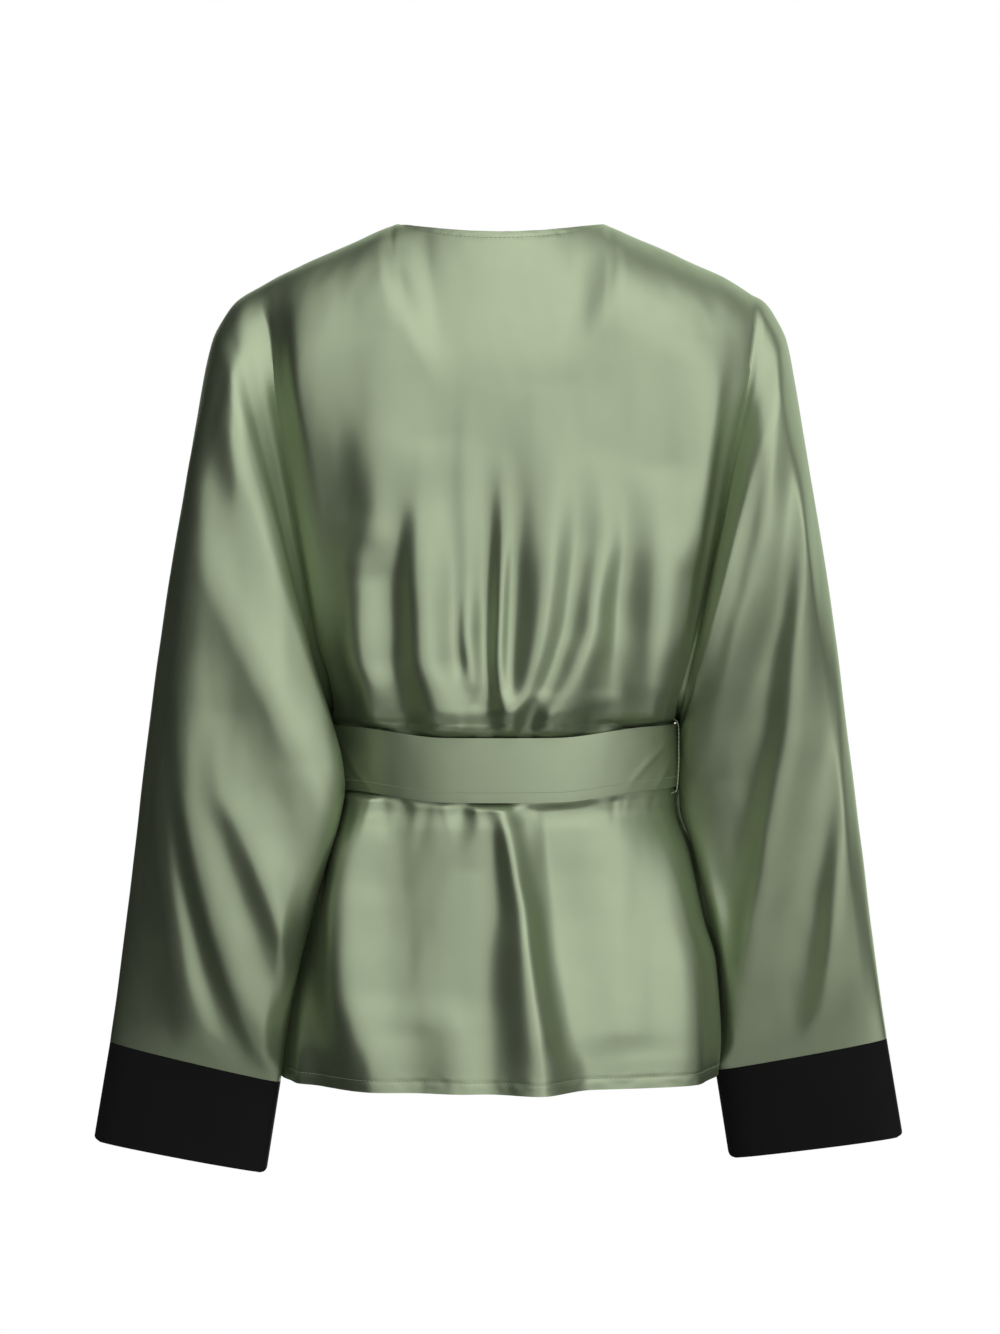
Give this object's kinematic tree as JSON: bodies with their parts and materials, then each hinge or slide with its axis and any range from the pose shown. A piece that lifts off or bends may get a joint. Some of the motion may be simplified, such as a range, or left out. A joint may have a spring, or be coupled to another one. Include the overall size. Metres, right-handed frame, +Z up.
{
  "type": "wrap top",
  "caption": "Hollow worn-form wrap top with deep kimono sleeves, wide straight cuffs, a V-shaped wrap front and a tied belt round the waist.",
  "frame": {"origin": "Midway between the high points of the two shoulders, where the shoulder seams meet the neck, in the plane of the shoulder seams.", "axes": "Z is up, from the hem and cuffs to the shoulders. Y points from the back to the wrap front, the way the wearer looks. X points to the wearer's right."},
  "size_m": [0.6208, 0.2758, 0.7216],
  "materials": {
    "satin": "satin",
    "cuff_black": "matte"
  },
  "bodies": {
    "root": {"back": "satin", "front_left": "satin", "front_right": "satin", "sleeve_left": "satin", "sleeve_right": "satin", "cuff_left": "cuff_black", "cuff_right": "cuff_black", "belt": "satin", "belt_knot": "satin", "belt_end_left": "satin", "belt_end_right": "satin"}
  },
  "joints": []
}
